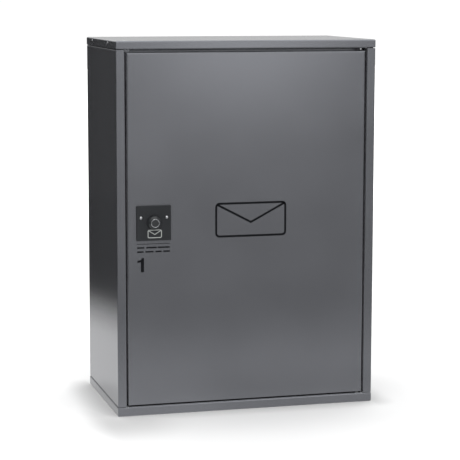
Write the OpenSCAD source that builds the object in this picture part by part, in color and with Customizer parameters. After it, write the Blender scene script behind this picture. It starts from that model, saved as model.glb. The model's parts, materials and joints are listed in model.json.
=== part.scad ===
// Parcel and mail receiving cabinet: one compartment behind a single inset door.
// Millimetres. X runs to the right, Y to the back and Z up.
// The origin is the centre of the base's underside.

/* [Cabinet] */
// Width over the cap and the base
cabinet_w = 430; // [400:5:500]
// Depth over the cap and the base
cabinet_d = 245; // [230:5:320]
// Height from the floor to the top of the cap
cabinet_h = 600; // [560:5:800]
// Thickness of the cabinet's and the door's steel sheet
sheet = 1.2; // [1:0.1:1.3]
// Height of the cap's flanges
cap_h = 13; // [12.5:0.5:18]
// Height of the base's flanges
base_h = 14; // [14:0.5:20]

/* [Front frame] */
// Width of the stile on each side of the door
stile_w = 14.5; // [13:0.5:16]
// How far the side panels and the door face sit inside the cap's outline
frame_inset = 0.2; // [0.2:0.1:0.8]
// Depth of the stops behind the door, from the door's front face
stop_depth = 20; // [19.5:0.5:24]
// Width of the lock-side stop
stop_w = 12; // [10:1:14]

/* [Door] */
// Gap between the door and each stile
side_gap = 2.5; // [2.5:0.5:5]
// Gap between the door and the cap's lower edge
top_gap = 5; // [4.5:0.5:6]
// Gap between the door and the base's upper edge
bottom_gap = 2.5; // [2.5:0.5:4]
// Depth of the door's folded edges
door_depth = 18; // [18:0.5:19]
// Width of the lip around the door's inside
door_lip = 12; // [10:1:12]

/* [Hinge] */
// Diameter of the pivot pins
pin_d = 4; // [3.5:0.5:4]
// Distance of the pivot from the door's hinge-side edge
pivot_in = 6.5; // [6:0.5:7]
// Distance of the pivot behind the door's front face
pivot_back = 7; // [6.5:0.5:7.5]

/* [Lock] */
// Distance of the knob's axis from the cabinet's centre plane, towards the lock side
lock_offset = 155.6; // [155:0.2:156.6]
// Height of the knob's axis
lock_z = 313; // [300:1:330]
// Side of the square faceplate
faceplate = 56; // [54:1:58]
// Diameter of the knob
knob_d = 21.5; // [20:0.5:22]
// How far the knob's face stands in front of the cabinet
knob_reach = 14; // [12:0.5:16]
// Length of the latch arm, from the knob's axis to its tip
arm_l = 48; // [45:1:50]

/* [Wall fixing] */
// Width between the wall screws
wall_dx = 320; // [280:10:340]
// Height between the wall screws
wall_dz = 480; // [400:10:500]
// Diameter of the wall screw holes
wall_hole_d = 8.5; // [7:0.5:10]

/* [Hidden] */
$fn = 64;
bend_steps = 5;
bend_r = 1.5;
door_bend_r = 2.8;
cap_edge_r = 2.5;
base_edge_r = 1.6;
hem = 2 * sheet;
liner = 1;
liner_clear = 0.2;
liner_flange = 9.5;
slack = 0.05;
reach = 2 * cabinet_h;

half_w = cabinet_w / 2;
front_y = -cabinet_d / 2;
back_y = cabinet_d / 2;

// Side panels stand between the ceiling and the floor panels
side_x = half_w - frame_inset;
side_z0 = base_h + liner;
side_z1 = cabinet_h - cap_h - liner;
side_back_y = back_y - sheet;
opening_x = half_w - stile_w;
side_flange = 16;
rear_flange = 20;

// The door and the stops behind it
door_y0 = front_y + frame_inset;
door_y1 = door_y0 + door_depth;
door_x = opening_x - side_gap;
door_z0 = base_h + bottom_gap;
door_z1 = cabinet_h - cap_h - top_gap;
stop_y = door_y0 + stop_depth;
rail_h = 14;
rail_leg = 14;
sill_h = 11;
rail_x0 = -opening_x + stop_w + 0.5;
rail_x1 = door_x - 4;
buffer_h = stop_depth - door_depth - 0.1;

// Pivot
pivot = [door_x - pivot_in, door_y0 + pivot_back];
bush_d = 7;
bush_flange_d = 8.4;
bush_sleeve = 7;
upper_bush_flange = 1.3;
lower_collar = 0.7;
hinge_plate_t = 3;
hinge_plate_w = 26;
hinge_plate_d = 22;
hinge_plate_y = front_y + hem + liner_clear + liner + 0.3;
pin_head_d = 6.5;
pin_head_h = 2;

// Lock: x, y and z of its main planes
lock_x = -lock_offset;
plate_z = lock_z - 1;
gasket_t = 0.5;
plate_t = 2.5;
plate_y = front_y - gasket_t - plate_t;
plate_back = door_y0 - gasket_t;
screw_dx = 21;
screw_dz = 8;
window_w = 34;
window_h = 44;
case_y0 = door_y0 + sheet;
case_wall = 2;
cover_t = 1.9;
strike_t = 1.5;
arm_t = 3;
arm_y = stop_y + sheet + strike_t + 0.8;
cover_y1 = stop_y + 0.9;
cover_y0 = cover_y1 - cover_t;
case_half_w = 28;
case_z0 = lock_z - 77;
case_z1 = lock_z + 28;
spindle_d = 10;
square = 7;
disc_d = 24;
disc_t = 3;
disc_y = cover_y0 - 10;
notch_w = 3.4;
notch_depth = 3.2;
bolt_d = 3;
bolt_travel = 3;
bolt_top = lock_z - disc_d / 2 - 0.5;
cell_d = 10.5;
cell_l = 43.5;
cell_tip = 1;
cell_pitch = 11;
cell_z = lock_z - 64;
cell_y = (case_y0 + case_wall + cover_y0) / 2;
knob_y = front_y - knob_reach;
knob_ring_od = 13.8;
knob_ring_id = 11.7;

rivet_d = 4;
cap_rivet_y = [-60, 70];
cap_rivet_z = cabinet_h - 6;
liner_rivet_x = side_x - 8.4;
liner_rivet_y = [for (i = [-1 : 1]) 9 + i * (cabinet_d / 2 - 33)];
rear_rivet_x = side_x - 9;
rear_rivet_z = [for (i = [0 : 3]) side_z0 + 44 + i * (side_z1 - side_z0 - 88) / 3];

steel_grey = [0.37, 0.38, 0.40];
zinc = [0.75, 0.76, 0.78];
black = [0.10, 0.10, 0.11];

// ---------- Outlines ----------

function unit(v) = v / norm(v);
function left_of(v) = [-v[1], v[0]];
function turned(v, a) = [v[0] * cos(a) - v[1] * sin(a), v[0] * sin(a) + v[1] * cos(a)];
function turn_angle(u, w) = atan2(u[0] * w[1] - u[1] * w[0], u * w);
function reversed(list) = [for (i = [len(list) - 1 : -1 : 0]) list[i]];

// One face of the bend at b, between a and c. face is 0 on the path's own face and t on the other.
function bend(a, b, c, face, t, r) =
    let (
        u = unit(b - a),
        w = unit(c - b),
        angle = turn_angle(u, w),
        q = angle > 0 ? r : t - r,
        centre = b + (left_of(u) + left_of(w)) * q / (1 + u * w)
    )
    [for (i = [0 : bend_steps]) centre - left_of(turned(u, angle * i / bend_steps)) * (q - face)];

// Outline of a folded sheet of thickness t. The path runs along one face, with the sheet on its left,
// and r is the outer radius of each bend.
function fold(path, t = sheet, r = bend_r) =
    let (
        n = len(path),
        start = left_of(unit(path[1] - path[0])) * t,
        end = left_of(unit(path[n - 1] - path[n - 2])) * t
    )
    concat(
        [path[0]],
        [for (i = [1 : n - 2]) each bend(path[i - 1], path[i], path[i + 1], 0, t, r)],
        [path[n - 1], path[n - 1] + end],
        [for (i = [n - 2 : -1 : 1]) each reversed(bend(path[i - 1], path[i], path[i + 1], t, t, r))],
        [path[0] + start]
    );

function arc(centre, r, from, to) =
    r == 0 ? [centre] : [for (i = [0 : bend_steps])
        let (a = from + (to - from) * i / bend_steps) centre + r * [cos(a), sin(a)]];

// Rectangle whose lower corners have radius low and upper corners radius high
function rounded(x0, y0, x1, y1, low, high) = concat(
    arc([x0 + low, y0 + low], low, 180, 270),
    arc([x1 - low, y0 + low], low, 270, 360),
    arc([x1 - high, y1 - high], high, 0, 90),
    arc([x0 + high, y1 - high], high, 90, 180)
);

// Cross-section of a hollow that opens downwards at height 0, with a mouth that flares by r
function mouth(half, top, r) = concat(
    [[-half - r, -1], [half + r, -1]],
    arc([half + r, r], r, 270, 180),
    [[half, top], [-half, top]],
    arc([-half - r, r], r, 0, -90)
);

// ---------- Helpers ----------

// The outline's x runs along Y and its y along Z
module along_x(x0, x1) {
    translate([x0, 0, 0]) rotate([90, 0, 90]) linear_extrude(x1 - x0) children();
}

// The outline's x runs along X and its y along Z
module along_y(y0, y1) {
    translate([0, y1, 0]) rotate([90, 0, 0]) linear_extrude(y1 - y0) children();
}

module along_z(z0, z1) {
    translate([0, 0, z0]) linear_extrude(z1 - z0) children();
}

module box(low, high) {
    translate(low) cube(high - low);
}

// Round bar or hole along Y, at [x, z]
module rod_y(at, d, y0, y1) {
    translate([at[0], y1, at[1]]) rotate([90, 0, 0]) cylinder(d = d, h = y1 - y0);
}

// Tray that opens downwards at z = 0, with closed hems along its four flanges
module hemmed_tray(height, edge_r) {
    hw = half_w;
    hd = cabinet_d / 2;
    difference() {
        intersection() {
            along_z(0, height) polygon(rounded(-hw, -hd, hw, hd, bend_r, bend_r));
            along_y(-hd, hd) polygon(rounded(-hw, 0, hw, height, sheet, edge_r));
            along_x(-hw, hw) polygon(rounded(-hd, 0, hd, height, sheet, edge_r));
        }
        intersection() {
            along_y(-hd, hd) polygon(mouth(hw - hem, height - sheet, sheet));
            along_x(-hw, hw) polygon(mouth(hd - hem, height - sheet, sheet));
        }
    }
}

// Panel with its outer face at z = 0 and a flange turned up along each edge
module liner_tray() {
    hw = half_w - hem - liner_clear;
    hd = cabinet_d / 2 - hem - liner_clear;
    difference() {
        intersection() {
            along_y(-hd, hd) polygon(rounded(-hw, 0, hw, liner + liner_flange, bend_r, 0));
            along_x(-hw, hw) polygon(rounded(-hd, 0, hd, liner + liner_flange, bend_r, 0));
        }
        box([liner - hw, liner - hd, liner], [hw - liner, hd - liner, liner_flange + 2 * liner]);
        translate([pivot[0], pivot[1], -1]) cylinder(d = pin_d, h = 3 * liner);
        for (side = [-1, 1], y = liner_rivet_y)
            translate([side * liner_rivet_x, y, -1]) cylinder(d = rivet_d, h = 3 * liner);
    }
}

module dome(d, h) {
    r = (d * d / 4 + h * h) / (2 * h);
    intersection() {
        translate([0, 0, h - r]) sphere(r);
        cylinder(d = d, h = h);
    }
}

// Rivet with its head on z = 0, through sheets that reach down to -grip
module blind_rivet(grip) {
    difference() {
        union() {
            dome(7, 1.2);
            translate([0, 0, -grip]) cylinder(d = rivet_d, h = grip);
            translate([0, 0, -grip - 2]) cylinder(d = 5.6, h = 2);
        }
        translate([0, 0, 0.5]) cylinder(d = 1.8, h = 2);
    }
}

// Screw with its head on z = 0 and its shank down to -length
module pan_screw(d, head_d, head_h, length) {
    slot_w = head_d / 6;
    difference() {
        union() {
            dome(head_d, head_h);
            translate([0, 0, -length]) cylinder(d = d, h = length);
        }
        for (a = [0, 90])
            rotate([0, 0, a]) translate([-head_d / 4, -slot_w / 2, head_h / 3])
                cube([head_d / 2, slot_w, head_h]);
    }
}

// ---------- Housing ----------

// Left side panel up to the stile's return; last_leg finishes the fold behind the stile
module side_panel(last_leg) {
    path = concat([
        [rear_flange - side_x, side_back_y],
        [-side_x, side_back_y],
        [-side_x, door_y0],
        [-opening_x, door_y0]
    ], last_leg);
    flange_y0 = stop_y + 2;
    flange_y1 = side_back_y - 3;
    tab = fold([[side_flange - side_x, 0], [-side_x, 0], [-side_x, -10]]);
    difference() {
        union() {
            intersection() {
                along_z(side_z0, side_z1) polygon(fold(path));
                along_y(door_y0, side_back_y)
                    polygon(rounded(-side_x, side_z0, 0, side_z1, bend_r, bend_r));
            }
            along_y(flange_y0, flange_y1) translate([0, side_z1]) polygon(tab);
            along_y(flange_y0, flange_y1) translate([0, side_z0]) mirror([0, 1]) polygon(tab);
        }
        for (y = liner_rivet_y)
            translate([-liner_rivet_x, y, 0]) cylinder(d = rivet_d, h = cabinet_h);
        for (z = rear_rivet_z) rod_y([-rear_rivet_x, z], rivet_d, side_back_y - 3, back_y);
    }
}

module left_side_panel() {
    color(steel_grey) side_panel([[-opening_x, stop_y], [stop_w - opening_x, stop_y]]);
}

module right_side_panel() {
    return_y = stop_y + 3;
    color(steel_grey) mirror([1, 0, 0])
        side_panel([[-opening_x, return_y], [-opening_x - 8, return_y]]);
}

module rear_panel() {
    edge = frame_inset + 1;
    color(steel_grey) difference() {
        box([edge - half_w, side_back_y, base_h + 0.4],
            [half_w - edge, back_y, side_z1 + liner - 0.4]);
        for (right = [-1, 1], up = [-1, 1])
            rod_y([right * wall_dx, cabinet_h + up * wall_dz] / 2, wall_hole_d,
                  side_back_y - 1, back_y + 1);
        for (side = [-1, 1], z = rear_rivet_z)
            translate([side * rear_rivet_x, side_back_y, z]) rear_rivet_hole();
    }
}

module rear_rivet_hole() {
    rotate([-90, 0, 0]) cylinder(d1 = rivet_d, d2 = rivet_d + 2 * sheet, h = sheet);
}

module top_cap() {
    color(steel_grey) difference() {
        translate([0, 0, cabinet_h - cap_h]) hemmed_tray(cap_h, cap_edge_r);
        for (side = [-1, 1], y = cap_rivet_y) cap_rivet_hole(side, y);
    }
}

module cap_rivet_hole(side, y) {
    translate([side * half_w, y, cap_rivet_z]) rotate([0, 90, 0])
        cylinder(d = rivet_d, h = 20, center = true);
}

module base_tray() {
    color(steel_grey) translate([0, 0, base_h]) mirror([0, 0, 1]) hemmed_tray(base_h, base_edge_r);
}

module ceiling_panel() {
    color(steel_grey) difference() {
        translate([0, 0, side_z1]) liner_tray();
        for (side = [-1, 1], y = cap_rivet_y) cap_rivet_hole(side, y);
    }
}

module floor_panel() {
    color(steel_grey) translate([0, 0, side_z0]) mirror([0, 0, 1]) liner_tray();
}

module top_stop_rail() {
    leg = [[stop_y + rail_leg, side_z1], [stop_y, side_z1], [stop_y, side_z1 - rail_h]];
    color(steel_grey) along_x(rail_x0, rail_x1) polygon(fold(leg));
}

module sill_stop_rail() {
    leg = [[stop_y, side_z0 + sill_h], [stop_y, side_z0], [stop_y + rail_leg, side_z0]];
    color(steel_grey) along_x(rail_x0, rail_x1) polygon(fold(leg));
}

// Plate that carries a pivot pin, with its face against a liner panel at z = 0
module hinge_plate() {
    difference() {
        translate([pivot[0] - hinge_plate_w / 2, hinge_plate_y, 0])
            cube([hinge_plate_w, hinge_plate_d, hinge_plate_t]);
        translate([pivot[0], pivot[1], -1]) cylinder(d = pin_d, h = hinge_plate_t + 2);
    }
}

module upper_hinge_plate() {
    color(zinc) translate([0, 0, side_z1 + liner]) hinge_plate();
}

module lower_hinge_plate() {
    color(zinc) translate([0, 0, side_z0 - liner - hinge_plate_t]) hinge_plate();
}

module upper_hinge_pin() {
    top = side_z1 + liner + hinge_plate_t;
    bottom = door_z1 - bush_sleeve - 1;
    color(zinc) translate([pivot[0], pivot[1], 0]) {
        translate([0, 0, bottom]) cylinder(d = pin_d, h = top - bottom);
        translate([0, 0, top]) cylinder(d = pin_head_d, h = pin_head_h);
    }
}

module lower_hinge_pin() {
    bottom = side_z0 - liner - hinge_plate_t;
    top = door_z0 + bush_sleeve + 1;
    color(zinc) translate([pivot[0], pivot[1], 0]) {
        translate([0, 0, bottom]) cylinder(d = pin_d, h = top - bottom);
        translate([0, 0, bottom - pin_head_h]) cylinder(d = pin_head_d, h = pin_head_h);
        translate([0, 0, side_z0]) cylinder(d = pin_head_d, h = lower_collar);
    }
}

module strike_plate() {
    y0 = stop_y + sheet;
    color(zinc) along_y(y0, y0 + strike_t)
        polygon(rounded(-opening_x - 1, lock_z - 16, stop_w - opening_x - 1, lock_z + 16, 2, 2));
}

// Rubber buffers on the stops, which the door's lip closes against
module door_buffers() {
    stop_mid = stop_w / 2 - opening_x + 1;
    places = [
        [stop_mid, door_z0 + 70],
        [stop_mid, door_z1 - 70],
        [-60, door_z0 + 4.5],
        [-60, door_z1 - 4.5]
    ];
    color(black) for (p = places)
        translate([p[0], stop_y, p[1]]) rotate([90, 0, 0]) {
            cylinder(d = 7, h = 0.8);
            translate([0, 0, 0.8]) dome(6, buffer_h - 0.8);
        }
}

module cap_rivets() {
    color(zinc) for (side = [-1, 1], y = cap_rivet_y)
        translate([side * half_w, y, cap_rivet_z]) rotate([0, side * 90, 0])
            blind_rivet(hem + liner_clear + liner);
}

module ceiling_rivets() {
    color(steel_grey) for (side = [-1, 1], y = liner_rivet_y)
        translate([side * liner_rivet_x, y, side_z1 - sheet]) mirror([0, 0, 1])
            blind_rivet(sheet + liner);
}

module floor_rivets() {
    color(steel_grey) for (side = [-1, 1], y = liner_rivet_y)
        translate([side * liner_rivet_x, y, side_z0 + sheet]) blind_rivet(sheet + liner);
}

// Countersunk rivets, flush with the rear face
module rear_rivets() {
    color(steel_grey) for (side = [-1, 1], z = rear_rivet_z)
        translate([side * rear_rivet_x, side_back_y, z]) {
            rear_rivet_hole();
            rotate([90, 0, 0]) cylinder(d = rivet_d, h = sheet);
            translate([0, -sheet, 0]) rotate([90, 0, 0]) cylinder(d = 5.6, h = 2);
        }
}

// ---------- Door ----------

module door_panel() {
    r = door_bend_r;
    corner_r = 1.5;
    color(steel_grey) difference() {
        intersection() {
            along_y(door_y0, door_y1)
                polygon(rounded(-door_x, door_z0, door_x, door_z1, corner_r, corner_r));
            along_z(door_z0, door_z1) polygon(rounded(-door_x, door_y0, door_x, door_y1, r, 0));
            along_x(-door_x, door_x)
                mirror([1, -1]) polygon(rounded(door_z0, door_y0, door_z1, door_y1, r, 0));
        }
        along_z(door_z0 + sheet, door_z1 - sheet)
            polygon(rounded(sheet - door_x, door_y0 + sheet, door_x - sheet, door_y1 - sheet,
                            r - sheet, 0));
        box([door_lip - door_x, door_y1 - 2 * sheet, door_z0 + door_lip],
            [door_x - door_lip, door_y1 + 1, door_z1 - door_lip]);
        box([lock_x - window_w / 2, door_y0 - 1, plate_z - window_h / 2],
            [lock_x + window_w / 2, door_y0 + 2 * sheet, plate_z + window_h / 2]);
        for (side = [-1, 1])
            rod_y([lock_x + side * screw_dx, lock_z + screw_dz], 3.4, door_y0 - 1, case_y0 + 1);
        for (z = [door_z0 - 1, door_z1 - 2 * sheet])
            translate([pivot[0], pivot[1], z]) cylinder(d = bush_d, h = 2 * sheet + 1);
    }
}

// Top-hat section, spot-welded to the inside of the door
module door_stiffener() {
    y0 = door_y0 + sheet;
    depth = 12;
    hat = [
        [-34, y0], [-18, y0], [-18, y0 + depth], [18, y0 + depth], [18, y0], [34, y0]
    ];
    color(steel_grey) translate([30, 0, 0]) along_z(door_z0 + 22, door_z1 - 22)
        polygon(fold(hat));
}

// Flanged bearing bush with its flange's underside on z = 0 and its sleeve below
module hinge_bush(flange_h) {
    color(black) difference() {
        union() {
            cylinder(d = bush_flange_d, h = flange_h);
            translate([0, 0, -bush_sleeve]) cylinder(d = bush_d, h = bush_sleeve);
        }
        translate([0, 0, -bush_sleeve - 1])
            cylinder(d = pin_d + 2 * slack, h = bush_sleeve + flange_h + 2);
    }
}

module upper_hinge_bush() {
    translate([pivot[0], pivot[1], door_z1]) hinge_bush(upper_bush_flange);
}

module lower_hinge_bush() {
    flange_h = bottom_gap - liner - lower_collar;
    translate([pivot[0], pivot[1], door_z0]) mirror([0, 0, 1]) hinge_bush(flange_h);
}

module lock_faceplate() {
    h = faceplate / 2;
    r = 0.8;
    color(black) difference() {
        intersection() {
            along_y(plate_y, plate_back)
                polygon(rounded(lock_x - h, plate_z - h, lock_x + h, plate_z + h, 1.2, 1.2));
            along_z(plate_z - h, plate_z + h)
                polygon(rounded(lock_x - h, plate_y, lock_x + h, plate_back, r, 0));
            along_x(lock_x - h, lock_x + h)
                mirror([1, -1]) polygon(rounded(plate_z - h, plate_y, plate_z + h, plate_back, r, 0));
        }
        rod_y([lock_x, lock_z], spindle_d + 1, plate_y - 1, plate_back + 1);
        for (side = [-1, 1])
            rod_y([lock_x + side * screw_dx, lock_z + screw_dz], 3.4, plate_y - 1, plate_back + 1);
    }
}

module faceplate_gasket() {
    h = faceplate / 2 - 1;
    color(black) difference() {
        box([lock_x - h, plate_back, plate_z - h], [lock_x + h, door_y0, plate_z + h]);
        box([lock_x - window_w / 2, plate_back - 1, plate_z - window_h / 2],
            [lock_x + window_w / 2, door_y0 + 1, plate_z + window_h / 2]);
        for (side = [-1, 1])
            rod_y([lock_x + side * screw_dx, lock_z + screw_dz], 3.4, plate_back - 1, door_y0 + 1);
    }
}

module faceplate_screws() {
    length = case_y0 + 8 - plate_y;
    color(zinc) for (side = [-1, 1])
        translate([lock_x + side * screw_dx, plate_y, lock_z + screw_dz]) rotate([90, 0, 0])
            pan_screw(3, 5, 1.7, length);
}

// Corners of the case, where the cover is screwed on
function cover_screw_places() = [
    for (side = [-1, 1], z = [case_z0 + 4.5, case_z1 - 4.5]) [lock_x + side * (case_half_w - 4.5), z]
];

module lock_case() {
    x0 = lock_x - case_half_w;
    x1 = lock_x + case_half_w;
    inner_y = case_y0 + case_wall;
    lugs = [for (side = [-1, 1]) [lock_x + side * screw_dx, lock_z + screw_dz]];
    color(black) difference() {
        union() {
            difference() {
                along_y(case_y0, cover_y0) polygon(rounded(x0, case_z0, x1, case_z1, 4, 4));
                along_y(inner_y, cover_y0 + 1)
                    polygon(rounded(x0 + case_wall, case_z0 + case_wall,
                                    x1 - case_wall, case_z1 - case_wall, 2, 2));
            }
            for (p = cover_screw_places()) rod_y(p, 6, case_y0, cover_y0);
            for (p = lugs) rod_y(p, 7, case_y0, case_y0 + 10);
            box([x0, inner_y - 0.5, bolt_top - 23.5], [x1, cell_y + 2, bolt_top - 22]);
            rod_y([lock_x, lock_z], spindle_d + 4, case_y0 - 1, inner_y);
        }
        rod_y([lock_x, lock_z], spindle_d + 2 * slack, case_y0 - 2, cover_y0);
        for (p = cover_screw_places()) rod_y(p, 2.5, inner_y, cover_y0 + 1);
        for (p = lugs) rod_y(p, 3, case_y0 - 1, case_y0 + 8);
    }
}

module lock_case_cover() {
    x0 = lock_x - case_half_w;
    x1 = lock_x + case_half_w;
    color(black) difference() {
        union() {
            along_y(cover_y0, cover_y1) polygon(rounded(x0, case_z0, x1, case_z1, 4, 4));
            rod_y([lock_x, lock_z], spindle_d + 6, cover_y1 - 0.1, arm_y - 0.2);
        }
        rod_y([lock_x, lock_z], spindle_d + 2 * slack, cover_y0 - 1, arm_y);
        for (p = cover_screw_places()) rod_y(p, 2.5, cover_y0 - 1, cover_y1 + 1);
    }
}

module cover_screws() {
    color(zinc) for (p = cover_screw_places())
        translate([p[0], cover_y1, p[1]]) rotate([-90, 0, 0]) pan_screw(2.5, 4.6, 1.3, 10);
}

module control_board() {
    y0 = case_y0 + case_wall + 0.6;
    board_t = 1.6;
    color("darkgreen") difference() {
        union() {
            box([lock_x - 15, y0, lock_z - 11], [lock_x + 15, y0 + board_t, lock_z + 24]);
            for (i = [-1 : 1])
                box([lock_x + i * 8.5 - 2.5, y0 + board_t, lock_z + 14],
                    [lock_x + i * 8.5 + 2.5, y0 + board_t + 1.4, lock_z + 21]);
        }
        rod_y([lock_x, lock_z], spindle_d + 4, y0 - 1, y0 + board_t + 2);
    }
}

// Three cells side by side, each with its axis along X, turned end for end in between
module battery_cells() {
    color("silver") for (i = [0 : 2])
        translate([lock_x, cell_y, cell_z + i * cell_pitch]) rotate([0, i == 1 ? -90 : 90, 0]) {
            translate([0, 0, -cell_l / 2]) cylinder(d = cell_d, h = cell_l);
            translate([0, 0, cell_l / 2]) cylinder(d = 3.8, h = cell_tip);
        }
}

// Plate on the case's wall, with a spring stud that meets the end of its cell
module battery_contacts() {
    wall = case_half_w - case_wall;
    plate = 0.5;
    color(zinc) for (i = [0 : 2], side = [-1, 1]) {
        tip = side == (i == 1 ? -1 : 1) ? cell_l / 2 + cell_tip : cell_l / 2;
        translate([lock_x, cell_y, cell_z + i * cell_pitch]) rotate([0, side * 90, 0]) {
            translate([-4, -4, wall - plate]) cube([8, 8, plate]);
            translate([0, 0, tip]) cylinder(d = 5, h = wall - plate - tip);
        }
    }
}

module blocking_motor() {
    top = bolt_top - 6;
    color("silver") difference() {
        union() {
            box([lock_x - 7, cell_y - 5, top - 16], [lock_x + 7, cell_y + 5, top - 4]);
            translate([lock_x, disc_y + disc_t / 2, top - 4]) cylinder(d = 8, h = 4);
        }
        translate([lock_x, disc_y + disc_t / 2, top - 12])
            cylinder(d = bolt_d + 2 * slack, h = 13);
    }
}

// Pin that the motor pushes up into the disc, to hold the knob
module blocking_bolt() {
    length = 15;
    color(zinc) translate([lock_x, disc_y + disc_t / 2, bolt_top - length])
        cylinder(d = bolt_d, h = length);
}

// ---------- Knob and latch ----------

// Turns a profile of [radius, distance behind the knob's face] about the knob's axis
module turned_about_knob() {
    translate([lock_x, knob_y, lock_z]) rotate([-90, 0, 0]) rotate_extrude() children();
}

module knob() {
    r = knob_d / 2;
    length = plate_y - 0.3 - knob_y;
    shoulder_r = knob_ring_od / 2 + 0.4;
    color(black) difference() {
        turned_about_knob() polygon([
            [0, 1.2], [knob_ring_id / 2, 1.2], [knob_ring_id / 2, 0.8], [knob_ring_od / 2, 0.8],
            [knob_ring_od / 2, 0.2], [shoulder_r, 0], [r - 0.5, 3.4], [r, 4.2],
            [r, length - 0.4], [r - 0.4, length], [0, length]
        ]);
        rod_y([lock_x, lock_z], spindle_d, knob_y + 5, plate_y);
    }
}

module knob_ring() {
    color(zinc) turned_about_knob() polygon([
        [knob_ring_id / 2, 0.1], [knob_ring_id / 2 + 0.2, -0.1], [knob_ring_od / 2 - 0.2, -0.1],
        [knob_ring_od / 2, 0.1], [knob_ring_od / 2, 0.8], [knob_ring_id / 2, 0.8]
    ]);
}

module knob_face() {
    r = knob_ring_id / 2;
    color(black) turned_about_knob()
        polygon([[0, 0.5], [2.2, 0.5], [2.4, 0.3], [r - 0.2, 0.3], [r, 0.5], [r, 1.2], [0, 1.2]]);
}

module spindle() {
    screw_depth = 10;
    color(zinc) difference() {
        union() {
            rod_y([lock_x, lock_z], spindle_d, knob_y + 5, arm_y);
            box([lock_x - square / 2, arm_y - 0.5, lock_z - square / 2],
                [lock_x + square / 2, arm_y + arm_t, lock_z + square / 2]);
        }
        rod_y([lock_x, lock_z], 4, arm_y + arm_t - screw_depth, arm_y + arm_t + 1);
    }
}

// Disc on the spindle, with a notch for the bolt at each end of the knob's turn
module clutch_disc() {
    color(zinc) difference() {
        rod_y([lock_x, lock_z], disc_d, disc_y, disc_y + disc_t);
        rod_y([lock_x, lock_z], spindle_d, disc_y - 1, disc_y + disc_t + 1);
        translate([lock_x, disc_y - 1, lock_z]) for (a = [0, 90])
            rotate([0, a, 0]) translate([disc_d / 2 - notch_depth, 0, -notch_w / 2])
                cube([notch_depth + 1, disc_t + 2, notch_w]);
    }
}

// Latch arm, drawn hanging down, clear of the strike
module latch_arm() {
    arm_w = 14;
    color(zinc) difference() {
        union() {
            rod_y([lock_x, lock_z], 20, arm_y, arm_y + arm_t);
            rod_y([lock_x, lock_z - arm_l + arm_w / 2], arm_w, arm_y, arm_y + arm_t);
            box([lock_x - arm_w / 2, arm_y, lock_z - arm_l + arm_w / 2],
                [lock_x + arm_w / 2, arm_y + arm_t, lock_z]);
        }
        box([lock_x - square / 2, arm_y - 1, lock_z - square / 2],
            [lock_x + square / 2, arm_y + arm_t + 1, lock_z + square / 2]);
    }
}

module arm_washer() {
    y0 = arm_y + arm_t;
    color(zinc) difference() {
        rod_y([lock_x, lock_z], 15, y0, y0 + 1);
        rod_y([lock_x, lock_z], 4, y0 - 1, y0 + 2);
    }
}

module arm_screw() {
    y0 = arm_y + arm_t + 1;
    color(zinc) translate([lock_x, y0, lock_z]) rotate([-90, 0, 0]) pan_screw(4, 8, 2.6, 9);
}

left_side_panel();
right_side_panel();
rear_panel();
top_cap();
base_tray();
ceiling_panel();
floor_panel();
top_stop_rail();
sill_stop_rail();
upper_hinge_plate();
lower_hinge_plate();
upper_hinge_pin();
lower_hinge_pin();
strike_plate();
door_buffers();
cap_rivets();
ceiling_rivets();
floor_rivets();
rear_rivets();
door_panel();
door_stiffener();
upper_hinge_bush();
lower_hinge_bush();
lock_faceplate();
faceplate_gasket();
faceplate_screws();
lock_case();
lock_case_cover();
cover_screws();
control_board();
battery_cells();
battery_contacts();
blocking_motor();
blocking_bolt();
knob();
knob_ring();
knob_face();
spindle();
clutch_disc();
latch_arm();
arm_washer();
arm_screw();
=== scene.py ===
import json
import math

import bpy
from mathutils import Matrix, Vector


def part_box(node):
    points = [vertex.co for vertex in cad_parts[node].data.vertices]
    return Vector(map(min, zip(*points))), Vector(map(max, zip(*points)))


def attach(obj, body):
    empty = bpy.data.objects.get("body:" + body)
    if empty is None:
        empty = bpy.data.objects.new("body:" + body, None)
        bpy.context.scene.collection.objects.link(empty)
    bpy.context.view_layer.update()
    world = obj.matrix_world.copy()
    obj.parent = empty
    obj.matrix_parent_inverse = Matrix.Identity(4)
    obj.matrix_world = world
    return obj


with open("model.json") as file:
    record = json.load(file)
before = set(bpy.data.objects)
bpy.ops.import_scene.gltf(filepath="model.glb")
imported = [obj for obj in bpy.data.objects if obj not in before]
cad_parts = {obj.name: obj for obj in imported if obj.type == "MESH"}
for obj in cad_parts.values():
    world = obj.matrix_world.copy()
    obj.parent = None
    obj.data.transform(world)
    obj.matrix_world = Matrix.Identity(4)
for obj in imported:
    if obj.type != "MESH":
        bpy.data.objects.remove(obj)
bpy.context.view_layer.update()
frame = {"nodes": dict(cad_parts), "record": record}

MM = 0.001

nodes = frame["nodes"]
record = frame["record"]
slot_of = {s["node"]: s["material_slot"] for s in record["subparts"]}

# Lowest and highest corners of the pieces that other things are placed by, in metres.
door_lo, door_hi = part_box("door_panel")
plate_lo, plate_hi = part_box("lock_faceplate")
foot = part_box("base_tray")[1]


# ---------- Node helpers ----------

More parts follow.
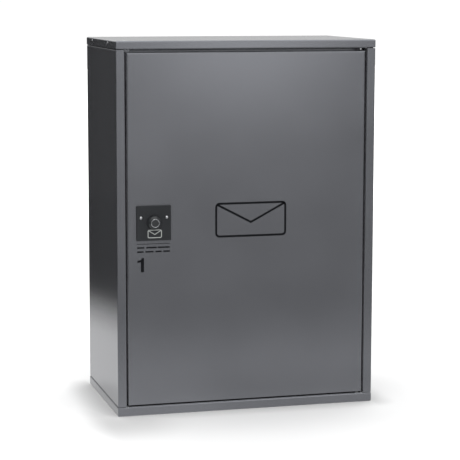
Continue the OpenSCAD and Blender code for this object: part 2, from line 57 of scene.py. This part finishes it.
class Graph:
    """Short calls for building one node tree."""

    def __init__(self, tree):
        self.tree = tree
        tree.nodes.clear()

    def add(self, kind, **values):
        node = self.tree.nodes.new(kind)
        for key, value in values.items():
            setattr(node, key, value)
        return node

    def link(self, source, target):
        self.tree.links.new(source, target)

    def put(self, socket, value):
        if isinstance(value, bpy.types.NodeSocket):
            self.link(value, socket)
        else:
            socket.default_value = value

    def split(self, vector):
        node = self.add("ShaderNodeSeparateXYZ")
        self.link(vector, node.inputs[0])
        return node.outputs

    def math(self, operation, *values):
        node = self.add("ShaderNodeMath", operation=operation)
        for socket, value in zip(node.inputs, values):
            self.put(socket, value)
        return node.outputs[0]

    def chain(self, operation, values):
        total = values[0]
        for value in values[1:]:
            total = self.math(operation, total, value)
        return total

    def plus(self, *values):
        return self.chain("ADD", values)

    def times(self, *values):
        return self.chain("MULTIPLY", values)

    def minus(self, a, b):
        return self.math("SUBTRACT", a, b)

    def absolute(self, value):
        return self.math("ABSOLUTE", value)

    def hypotenuse(self, a, b):
        squares = self.plus(self.math("POWER", a, 2.0), self.math("POWER", b, 2.0))
        return self.math("SQRT", squares)

    def ramp(self, value, from_min, from_max, to_min=0.0, to_max=1.0, kind="SMOOTHSTEP"):
        """Goes from to_min to to_max as the value goes from from_min to from_max."""
        node = self.add("ShaderNodeMapRange", interpolation_type=kind)
        for socket, item in zip(node.inputs, (value, from_min, from_max, to_min, to_max)):
            self.put(socket, item)
        return node.outputs[0]

    def distance(self, vector, point):
        node = self.add("ShaderNodeVectorMath", operation="DISTANCE")
        self.link(vector, node.inputs[0])
        node.inputs[1].default_value = point
        return node.outputs["Value"]

    def noise(self, vector, scale, detail=2.0, roughness=0.5):
        node = self.add("ShaderNodeTexNoise")
        self.link(vector, node.inputs["Vector"])
        node.inputs["Scale"].default_value = scale
        node.inputs["Detail"].default_value = detail
        node.inputs["Roughness"].default_value = roughness
        return node.outputs[0]

    def stretched(self, vector, scale):
        node = self.add("ShaderNodeMapping")
        self.link(vector, node.inputs["Vector"])
        node.inputs["Scale"].default_value = scale
        return node.outputs[0]

    def mix(self, factor, a, b):
        node = self.add("ShaderNodeMix", data_type="RGBA")
        self.put(node.inputs["Factor"], factor)
        colours = [s for s in node.inputs if s.type == "RGBA"]
        self.put(colours[0], a)
        self.put(colours[1], b)
        return [s for s in node.outputs if s.type == "RGBA"][0]

    def bump(self, height, distance, strength, normal=None):
        node = self.add("ShaderNodeBump")
        self.link(height, node.inputs["Height"])
        node.inputs["Distance"].default_value = distance
        node.inputs["Strength"].default_value = strength
        if normal is not None:
            self.link(normal, node.inputs["Normal"])
        return node.outputs[0]


def rgba(r, g, b):
    return (r, g, b, 1.0)


def shaded(colour, factor):
    return tuple(c * factor for c in colour[:3]) + (1.0,)


def surface(name, colour, metallic, roughness, **constants):
    """A material with its node tree, its Principled shader and its object coordinates."""
    material = bpy.data.materials.new(name)
    material.use_nodes = True
    graph = Graph(material.node_tree)
    out = graph.add("ShaderNodeOutputMaterial")
    shader = graph.add("ShaderNodeBsdfPrincipled")
    graph.link(shader.outputs[0], out.inputs["Surface"])
    shader.inputs["Base Color"].default_value = colour
    shader.inputs["Metallic"].default_value = metallic
    shader.inputs["Roughness"].default_value = roughness
    for key, value in constants.items():
        shader.inputs[key.replace("_", " ")].default_value = value
    coords = graph.add("ShaderNodeTexCoord").outputs["Object"]
    return material, graph, shader, coords


CLOUD_SCALE = 9.0
GRAIN_DETAIL = 3.0
GRAIN_ROUGHNESS = 0.6
GRAIN_SHARE = 0.65
NOISE_MIDDLE = (0.3, 0.7)   # the range that most of a noise texture's values fall in


def mottled(name, colour, metallic, rough, grain, spread, rough_spread, **constants):
    """A surface whose colour and roughness wander a little, in small grain over broad clouds."""
    material, graph, shader, coords = surface(name, colour, metallic, rough, **constants)
    fine = graph.noise(coords, grain, GRAIN_DETAIL, GRAIN_ROUGHNESS)
    broad = graph.noise(coords, CLOUD_SCALE)
    mixed = graph.plus(graph.times(fine, GRAIN_SHARE), graph.times(broad, 1 - GRAIN_SHARE))
    tint = graph.mix(graph.ramp(mixed, *NOISE_MIDDLE),
                     shaded(colour, 1 - spread), shaded(colour, 1 + spread))
    shine = graph.ramp(mixed, *NOISE_MIDDLE, rough - rough_spread, rough + rough_spread)
    graph.link(tint, shader.inputs["Base Color"])
    graph.link(shine, shader.inputs["Roughness"])
    return material, graph, shader, coords, fine, tint, shine


# ---------- Materials ----------

# Painted light in the narrow gaps beside the door: their walls get this lighter colour than the coat,
# and a rougher finish.
SEAM_PAINTED_LIGHT = rgba(0.36, 0.37, 0.39)
SEAM_ROUGHER = 0.4

# The gap's walls beside the door: how far past its edge, and how deep behind its front.
SEAM_STARTS = (door_hi.x - 0.0012, door_hi.x - 0.0004)
SEAM_ENDS = (door_hi.x + 0.004, door_hi.x + 0.006, 1.0, 0.0)
SEAM_FRONT = (door_lo.y + 0.0008, door_lo.y + 0.0024)
SEAM_BACK = (door_lo.y + 0.022, door_lo.y + 0.025, 1.0, 0.0)


def seam_painted_light_mask(graph, coords):
    """1 on the walls of the narrow gaps beside the door, which are painted lighter than the coat as
    painted light, and made rougher.
    """
    x, y, _ = graph.split(coords)
    aside = graph.absolute(x)
    return graph.times(graph.ramp(aside, *SEAM_STARTS), graph.ramp(aside, *SEAM_ENDS),
                       graph.ramp(y, *SEAM_FRONT), graph.ramp(y, *SEAM_BACK))


def powder_coat():
    """Smooth metallic paint with fine orange peel; the walls of the gaps beside the door are rougher
    and painted lighter, as painted light.
    """
    material, graph, shader, coords, fine, tint, shine = mottled(
        "powder_coat", rgba(0.188, 0.193, 0.210), metallic=0.8, rough=0.145, grain=1400.0,
        spread=0.08, rough_spread=0.02)
    # Painted light: the gap walls get a lighter colour, and more roughness.
    seam = seam_painted_light_mask(graph, coords)
    graph.link(graph.mix(seam, tint, SEAM_PAINTED_LIGHT), shader.inputs["Base Color"])
    graph.link(graph.plus(shine, graph.times(seam, SEAM_ROUGHER)), shader.inputs["Roughness"])
    peel = graph.bump(graph.noise(coords, scale=330.0, detail=1.0), distance=0.00004, strength=0.35)
    graph.link(graph.bump(fine, distance=0.000012, strength=0.5, normal=peel), shader.inputs["Normal"])
    return material


def inner_coat():
    """The same paint, thin and dull where the spray hardly reaches."""
    material, graph, shader, _, fine, *_ = mottled(
        "inner_coat", rgba(0.18, 0.185, 0.2), metallic=0.7, rough=0.33, grain=1400.0,
        spread=0.12, rough_spread=0.04)
    graph.link(graph.bump(fine, distance=0.00002, strength=0.6), shader.inputs["Normal"])
    return material


def zinc_steel():
    """Zinc-plated steel with faint upright drawing lines."""
    material, graph, shader, coords, *_ = mottled(
        "zinc_steel", rgba(0.68, 0.69, 0.71), metallic=1.0, rough=0.3, grain=500.0,
        spread=0.08, rough_spread=0.08)
    drawn = graph.noise(graph.stretched(coords, (1.0, 1.0, 0.06)), scale=2200.0)
    graph.link(graph.bump(drawn, distance=0.00001, strength=0.5), shader.inputs["Normal"])
    return material


def black_coat():
    """Matt black paint of the lock's plate."""
    material, graph, shader, _, fine, *_ = mottled(
        "black_coat", rgba(0.018, 0.0195, 0.022), metallic=0.0, rough=0.42, grain=1800.0,
        spread=0.2, rough_spread=0.05, Specular_IOR_Level=0.2)
    graph.link(graph.bump(fine, distance=0.00002, strength=0.5), shader.inputs["Normal"])
    return material


def moulded(name, colour, rough, depth):
    """Moulded plastic or rubber with a spark-eroded grain of the given depth."""
    material, graph, shader, coords, *_ = mottled(
        name, colour, metallic=0.0, rough=rough, grain=900.0, spread=0.1, rough_spread=0.06)
    spark = graph.noise(coords, scale=2600.0, detail=3.0, roughness=0.65)
    graph.link(graph.bump(spark, distance=depth, strength=0.6), shader.inputs["Normal"])
    return material


def turned_metal():
    return mottled("bright_ring", rgba(0.5, 0.51, 0.53), metallic=1.0, rough=0.24, grain=1500.0,
                   spread=0.06, rough_spread=0.05)[0]


def circuit_board():
    return mottled("board", rgba(0.01, 0.09, 0.03), metallic=0.0, rough=0.3, grain=700.0,
                   spread=0.15, rough_spread=0.05)[0]


def printed(name, colour):
    return mottled(name, colour, metallic=0.0, rough=0.6, grain=2400.0,
                   spread=0.12, rough_spread=0.06, Specular_IOR_Level=0.1)[0]


materials = {
    "powder_coat": powder_coat(),
    "zinc_steel": zinc_steel(),
    "black_coat": black_coat(),
    "black_plastic": moulded("black_plastic", rgba(0.018, 0.018, 0.02), rough=0.55, depth=0.00003),
    "knob_plastic": moulded("knob_plastic", rgba(0.016, 0.018, 0.02), rough=0.34, depth=0.00001),
    "bright_ring": turned_metal(),
    "rubber": moulded("rubber", rgba(0.016, 0.016, 0.016), rough=0.8, depth=0.00004),
    "board": circuit_board(),
    "cell_jacket": moulded("cell_jacket", rgba(0.25, 0.26, 0.28), rough=0.3, depth=0.000005),
    "motor_case": turned_metal(),
}
black_ink = printed("black_ink", rgba(0.004, 0.0045, 0.006))
grey_ink = printed("grey_ink", rgba(0.34, 0.355, 0.345))

thin_coat = inner_coat()
thin_coated = ("top_stop_rail", "sill_stop_rail")

for name, obj in nodes.items():
    material = thin_coat if name in thin_coated else materials[slot_of[name]]
    if not obj.material_slots:
        obj.data.materials.append(material)
    for item in obj.material_slots:
        item.material = material


# ---------- Printed marks, in millimetres on the faces that carry them ----------

INK = 0.06 * MM   # thickness of the print


def printed_piece(name, outlines, y, ink, body="door"):
    """Flat closed outlines in the X-Z plane, in millimetres, printed on a face at y."""
    vertices, faces = [], []
    for outline in outlines:
        first = len(vertices)
        count = len(outline)
        for depth in (y - INK, y):
            vertices += [(x * MM, depth, z * MM) for x, z in outline]
        front = list(range(first, first + count))
        back = [i + count for i in front]
        faces.append(front)
        faces.append(back[::-1])
        for i in range(count):
            j = (i + 1) % count
            faces.append([front[j], front[i], back[i], back[j]])
    mesh = bpy.data.meshes.new(name)
    mesh.from_pydata(vertices, [], faces)
    mesh.validate()
    mesh.update()
    piece = bpy.data.objects.new(name, mesh)
    bpy.context.scene.collection.objects.link(piece)
    mesh.materials.append(ink)
    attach(piece, body)


def stroke(points, width, closed=False):
    """Four-sided outlines along a polyline, mitred where it turns."""
    points = [Vector(p) for p in points]
    count = len(points)
    spans = [(points[(i + 1) % count] - points[i]).normalized() for i in range(count)]
    rails = []
    for i, point in enumerate(points):
        along_in = spans[i - 1] if closed or i > 0 else spans[i]
        along_out = spans[i] if closed or i < count - 1 else along_in
        normal_in = Vector((-along_in.y, along_in.x))
        normal_out = Vector((-along_out.y, along_out.x))
        mitre = (normal_in + normal_out) * (width / 2) / (1 + normal_in.dot(normal_out))
        rails.append((point + mitre, point - mitre))
    last = count if closed else count - 1
    return [[rails[i][0], rails[i][1], rails[(i + 1) % count][1], rails[(i + 1) % count][0]]
            for i in range(last)]


def rounded_outline(x0, z0, x1, z1, radius, steps=5):
    corners = [(x1 - radius, z1 - radius, 0), (x0 + radius, z1 - radius, 90),
               (x0 + radius, z0 + radius, 180), (x1 - radius, z0 + radius, 270)]
    points = []
    for cx, cz, start in corners:
        for i in range(steps + 1):
            angle = math.radians(start + 90 * i / steps)
            points.append((cx + radius * math.cos(angle), cz + radius * math.sin(angle)))
    return points


FLAP_INSET = 0.45      # of the line's width
FLAP_DROP = 0.08       # of the height, below the middle
CORNER_RADIUS = 1.6    # of the line's width


def envelope(cx, cz, width, height, line):
    """Outline of an envelope with a folded flap."""
    x0, x1 = cx - width / 2 + line / 2, cx + width / 2 - line / 2
    z0, z1 = cz - height / 2 + line / 2, cz + height / 2 - line / 2
    inset = line * FLAP_INSET
    flap = [(x0 + inset, z1 - inset), (cx, cz - height * FLAP_DROP), (x1 - inset, z1 - inset)]
    edge = rounded_outline(x0, z0, x1, z1, line * CORNER_RADIUS)
    return stroke(edge, line, closed=True) + stroke(flap, line)


def bar(x0, z0, x1, z1):
    return [(x0, z0), (x1, z0), (x1, z1), (x0, z1)]


def caption_line(z, words):
    """Plain bars in place of words: [start, end] of each, as fractions of the line."""
    span = label_x1 - label_x0
    return [bar(label_x0 + a * span, z, label_x0 + b * span, z + WORD_HEIGHT) for a, b in words]


door_front = door_lo.y
door_mid_z = 0.5 * (door_lo.z + door_hi.z) / MM
plate_front = plate_lo.y
plate_bottom = plate_lo.z / MM
plate_mid_x = (plate_lo.x + plate_hi.x) / 2 / MM

# The label under the plate starts and ends just inside the plate's edges.
label_x0 = plate_lo.x / MM + 1.2
label_x1 = plate_hi.x / MM - 1.6

EMBLEM_X = 5.3
EMBLEM_RISE = 13.5                 # above the middle of the door
EMBLEM_SHAPE = (119.2, 56.5, 3.4)  # width, height, line
ICON_SHIFT = 1.3                   # right of the plate's middle
ICON_RISE = 10.9                   # above the plate's lower edge
ICON_SHAPE = (23, 13.3, 1.2)

# Heights below the plate's lower edge.
RULE_LOW, RULE_HIGH = 5.9, 5.1
UPPER_LINE, LOWER_LINE = 12.6, 19.2
DIGIT_FOOT = 50.6

WORD_HEIGHT = 2.4
UPPER_WORDS = [(0.0, 0.22), (0.28, 0.6), (0.63, 1.0)]
LOWER_WORDS = [(0.0, 0.2), (0.25, 0.5), (0.56, 0.75), (0.8, 1.0)]

DIGIT_SHIFT = 0.3
DIGIT_ONE = [(10.7, 0), (10.7, 22.8), (7.2, 22.8), (6.3, 20.9), (4.0, 19.3), (0.2, 18.8),
             (0.0, 15.4), (5.5, 16.0), (5.5, 0)]

printed_piece("door_emblem", envelope(EMBLEM_X, door_mid_z + EMBLEM_RISE, *EMBLEM_SHAPE),
              door_front, black_ink)

printed_piece("plate_icon", envelope(plate_mid_x + ICON_SHIFT, plate_bottom + ICON_RISE, *ICON_SHAPE),
              plate_front, grey_ink)

printed_piece("caption_rule",
              [bar(label_x0, plate_bottom - RULE_LOW, label_x1, plate_bottom - RULE_HIGH)],
              door_front, black_ink)

printed_piece("caption_bars",
              caption_line(plate_bottom - UPPER_LINE, UPPER_WORDS)
              + caption_line(plate_bottom - LOWER_LINE, LOWER_WORDS),
              door_front, black_ink)

digit = [(label_x0 + DIGIT_SHIFT + x, plate_bottom - DIGIT_FOOT + z) for x, z in DIGIT_ONE]
printed_piece("door_number", [digit[::-1]], door_front, black_ink)


# ---------- Camera ----------

CAMERA_PLACE = (-0.7525, -2.7697, 0.6793)
CAMERA_TURN = (82.055, -0.0901, -15.2604)   # degrees about X, Y and Z
LENS = 134.76
SENSOR = 36.0
CLIP_END = 60.0

camera_data = bpy.data.cameras.new("camera")
camera = bpy.data.objects.new("camera", camera_data)
bpy.context.scene.collection.objects.link(camera)
camera_data.sensor_width = SENSOR
camera_data.lens = LENS
camera_data.clip_end = CLIP_END
camera.location = CAMERA_PLACE
camera.rotation_euler = [math.radians(a) for a in CAMERA_TURN]
bpy.context.scene.camera = camera


# ---------- Floor and lights ----------
# A fade is (from, to, value at from, value at to), with "LINEAR" where it isn't smoothed.

# The floor's painted shadow, by metres from the foot. At the front left corner it is an oval, whose
# middle is
# CORNER_OUT and CORNER_AHEAD metres past the corner, and whose radius is 1 / scale along X and Y.
FOOT_SHADE = (0.0, 0.045, 0.28, 0.0)
SIDE_SHARE = (-0.01, 0.005)
CORNER_OUT, CORNER_AHEAD = 0.012, 0.045
CORNER_SCALE_X = (-0.26, -0.17, 15.0, 9.5)
CORNER_SCALE_Y = 8.5
CORNER_SHADE = (0.0, 1.2, 0.3, 0.0)

# The floor's own light, by metres from the middle or from the foot.
NEAR_LIFT = (0.3, 0.8, 0.0, 0.15)
FAR_LIFT = (1.2, 3.5, 0.0, 0.5)
LEFT_LIFT = (0.015, 0.055, 0.0, 0.12)
LEFT_ONLY = (-0.275, -0.235, 1.0, 0.0)
AROUND_LIFT = (0.08, 0.2, 0.0, 0.04)

CLOUDS_ON_FLOOR = 3.0
CLOUD_DARKEST = 0.995


def floor_material(name, colour):
    """White floor with a painted shadow against the cabinet's foot, fading into the backdrop away from
    it.
    """
    material, graph, shader, coords = surface(name, colour, metallic=0.0, roughness=0.7)
    x, y, _ = graph.split(coords)
    aside = graph.math("MAXIMUM", graph.minus(graph.absolute(x), foot.x), 0.0)
    ahead = graph.math("MAXIMUM", graph.minus(graph.absolute(y), foot.y), 0.0)
    from_foot = graph.hypotenuse(aside, ahead)
    from_corner = graph.hypotenuse(
        graph.times(graph.plus(x, foot.x + CORNER_OUT), graph.ramp(x, *CORNER_SCALE_X)),
        graph.times(graph.plus(y, foot.y + CORNER_AHEAD), CORNER_SCALE_Y))
    beside = graph.times(graph.ramp(from_foot, *FOOT_SHADE), graph.ramp(aside, *SIDE_SHARE))
    shade = graph.math("MAXIMUM", beside, graph.ramp(from_corner, *CORNER_SHADE))
    plain = graph.mix(graph.noise(coords, CLOUDS_ON_FLOOR), shaded(colour, CLOUD_DARKEST), colour)
    graph.link(graph.mix(shade, plain, rgba(0, 0, 0)), shader.inputs["Base Color"])
    from_middle = graph.distance(coords, (0.0, 0.0, 0.0))
    lift = graph.plus(graph.ramp(from_middle, *NEAR_LIFT), graph.ramp(from_middle, *FAR_LIFT),
                      graph.times(graph.ramp(from_foot, *LEFT_LIFT), graph.ramp(x, *LEFT_ONLY)),
                      graph.ramp(from_foot, *AROUND_LIFT))
    shader.inputs["Emission Color"].default_value = rgba(1, 1, 1)
    graph.link(lift, shader.inputs["Emission Strength"])
    return material


# The floor's glow in the metal, in front of the cabinet by y.
FRONT_GLOW = (-1.1, -0.3, 0.26, 0.76, "LINEAR")
CLOSE_GLOW = (-0.3, -0.16, 0.0, 0.1)
RIGHT_DIM = (-0.12, 0.06, 0.0, 0.19)     # by x
RIGHT_DIM_DEPTH = (-0.5, -0.25)

# Beside it, by y + SIDE_SPREAD * |x|, with a dip near the left panel's front.
SIDE_SPREAD = 4.0
SIDE_GLOW = (1.88, 2.66, 0.9, 0.02, "LINEAR")
DIP_STARTS = (-0.28, -0.235, 0.0, 0.2)   # by x
DIP_ENDS = (-0.2, -0.1, 1.0, 0.0)
DIP_DEPTH = (0.18, 0.06)

# Where the part in front hands over to the part beside, by y.
IN_FRONT = (-0.12, -0.1, 1.0, 0.0)
BESIDE = (-0.12, -0.1)


def table_material():
    """Glow of the studio floor as the cabinet's metal reflects it, brightest close in front."""
    material = bpy.data.materials.new("table")
    material.use_nodes = True
    graph = Graph(material.node_tree)
    x, y, _ = graph.split(graph.add("ShaderNodeTexCoord").outputs["Object"])
    front = graph.minus(graph.plus(graph.ramp(y, *FRONT_GLOW), graph.ramp(y, *CLOSE_GLOW)),
                        graph.times(graph.ramp(x, *RIGHT_DIM), graph.ramp(y, *RIGHT_DIM_DEPTH)))
    reach = graph.plus(y, graph.times(graph.absolute(x), SIDE_SPREAD))
    dip = graph.times(graph.ramp(x, *DIP_STARTS), graph.ramp(y, *DIP_DEPTH), graph.ramp(x, *DIP_ENDS))
    beside = graph.minus(graph.ramp(reach, *SIDE_GLOW), dip)
    strength = graph.plus(graph.times(front, graph.ramp(y, *IN_FRONT)),
                          graph.times(beside, graph.ramp(y, *BESIDE)))
    glow = graph.add("ShaderNodeEmission")
    graph.link(strength, glow.inputs["Strength"])
    out = graph.add("ShaderNodeOutputMaterial")
    graph.link(glow.outputs[0], out.inputs["Surface"])
    return material


def floor_plane(name, low, high, z, material):
    mesh = bpy.data.meshes.new(name)
    corners = [(low[0], low[1]), (high[0], low[1]), (high[0], high[1]), (low[0], high[1])]
    mesh.from_pydata([(x, y, z) for x, y in corners], [], [(0, 1, 2, 3)])
    plane = bpy.data.objects.new(name, mesh)
    bpy.context.scene.collection.objects.link(plane)
    mesh.materials.append(material)
    return plane


# The floor is what the camera sees, and the table is what the metal reflects, just above it.
FLOOR_HALF = 12
FLOOR_Z = -0.0004
TABLE_LOW, TABLE_HIGH = (-1.3, -1.1), (1.3, 2.8)
TABLE_Z = -0.0001

floor = floor_plane("floor", (-FLOOR_HALF, -FLOOR_HALF), (FLOOR_HALF, FLOOR_HALF), FLOOR_Z,
                    floor_material("white_floor", rgba(0.77, 0.77, 0.77)))
floor.visible_glossy = False
table = floor_plane("table", TABLE_LOW, TABLE_HIGH, TABLE_Z, table_material())
table.visible_camera = False
table.visible_shadow = False
table.visible_diffuse = False

LIGHT_PLACE = (0.1, 0.2, 2.4)
LIGHT_SIZE = 2.4
LIGHT_POWER = 20

light_data = bpy.data.lights.new("top_light", "AREA")
light_data.shape = "RECTANGLE"
light_data.size = LIGHT_SIZE
light_data.size_y = LIGHT_SIZE
light_data.energy = LIGHT_POWER
top_light = bpy.data.objects.new("top_light", light_data)
bpy.context.scene.collection.objects.link(top_light)
top_light.location = LIGHT_PLACE
top_light.rotation_euler = (-Vector(LIGHT_PLACE)).to_track_quat("-Z", "Y").to_euler()
top_light.visible_glossy = False

# The room by direction: x to the right, y away from the door, z up, each from -1 to 1.
# A pale wall stands above a horizon that is higher on the left.
HORIZON = (-0.1, 0.15, 0.12, 0.0)
WALL_EDGE = (-0.02, 0.07)
WALL_BEHIND = (-0.2, 0.2, 0.35, 1.0)
WALL_LEFT = (-0.95, -0.35, 0.3, 1.0)

# Overhead it brightens twice.
UPPER = (0.3, 0.6, 0.0, 0.4)
ZENITH = (0.78, 0.92, 0.0, 1.6)

# In front of the door is a broad fill, and more of it above the horizon.
FILL_AXIS = (0.28, -0.96)
FRONT_FILL = (0.15, 0.95, 0.0, 0.42)
HIGH_FILL = (0.02, 0.2, 0.0, 0.6)
HIGH_FILL_DEPTH = (-0.2, -0.6)

# Ahead and below the horizon, the far floor glows in the middle and less on the left.
AHEAD = (-0.5, -0.8)
GLOW_X = 0.27
GLOW_WIDTH = (0.0, 0.088, 1.85, 0.0)
GLOW_RISE = (-0.075, -0.059, 0.0, 0.75, "LINEAR")
GLOW_TOP_UP = (-0.059, -0.033, 0.0, 0.25)
GLOW_ENDS = (0.1, 0.25, 1.0, 0.0)
LEFT_FILL = (0.235, 0.19, 0.0, 0.38)
LEFT_STARTS = (-0.15, -0.1)
LEFT_ENDS = (-0.07, -0.03, 1.0, 0.0)

# One small bright patch catches the screw heads and the knob.
CATCH_DIRECTION = (-0.25, -0.95, 0.14)
CATCH_LIGHT = (0.06, 0.2, 4.0, 0.0)

ROOM_BASE = 0.035
BACKDROP = 1.05


def studio_world():
    """White to the camera, and a shaped room to everything that it lights."""
    world = bpy.data.worlds.new("studio")
    bpy.context.scene.world = world
    world.use_nodes = True
    graph = Graph(world.node_tree)
    coords = graph.add("ShaderNodeTexCoord").outputs["Generated"]
    x, y, z = graph.split(coords)
    above = graph.minus(z, graph.ramp(x, *HORIZON))
    wall = graph.times(graph.ramp(above, *WALL_EDGE), graph.ramp(y, *WALL_BEHIND),
                       graph.ramp(x, *WALL_LEFT))
    upper = graph.plus(graph.ramp(z, *UPPER), graph.ramp(z, *ZENITH))
    facing = graph.plus(graph.times(x, FILL_AXIS[0]), graph.times(y, FILL_AXIS[1]))
    front_fill = graph.plus(graph.ramp(facing, *FRONT_FILL),
                            graph.times(graph.ramp(z, *HIGH_FILL), graph.ramp(y, *HIGH_FILL_DEPTH)))
    ahead = graph.ramp(y, *AHEAD)
    glow_aside = graph.absolute(graph.minus(x, GLOW_X))
    glow = graph.times(graph.ramp(glow_aside, *GLOW_WIDTH),
                       graph.plus(graph.ramp(z, *GLOW_RISE), graph.ramp(z, *GLOW_TOP_UP)),
                       ahead, graph.ramp(z, *GLOW_ENDS))
    left_fill = graph.times(graph.ramp(x, *LEFT_FILL), graph.ramp(z, *LEFT_STARTS),
                            graph.ramp(z, *LEFT_ENDS), ahead)
    catch = graph.ramp(graph.distance(coords, CATCH_DIRECTION), *CATCH_LIGHT)
    room = graph.add("ShaderNodeBackground")
    graph.link(graph.plus(wall, upper, front_fill, left_fill, glow, ROOM_BASE, catch),
               room.inputs["Strength"])
    backdrop = graph.add("ShaderNodeBackground")
    backdrop.inputs["Strength"].default_value = BACKDROP
    backdrop.inputs["Color"].default_value = rgba(1, 1, 1)
    mixed = graph.add("ShaderNodeMixShader")
    graph.link(graph.add("ShaderNodeLightPath").outputs["Is Camera Ray"], mixed.inputs[0])
    graph.link(room.outputs[0], mixed.inputs[1])
    graph.link(backdrop.outputs[0], mixed.inputs[2])
    out = graph.add("ShaderNodeOutputWorld")
    graph.link(mixed.outputs[0], out.inputs["Surface"])


studio_world()
bpy.context.scene.view_settings.view_transform = "Standard"
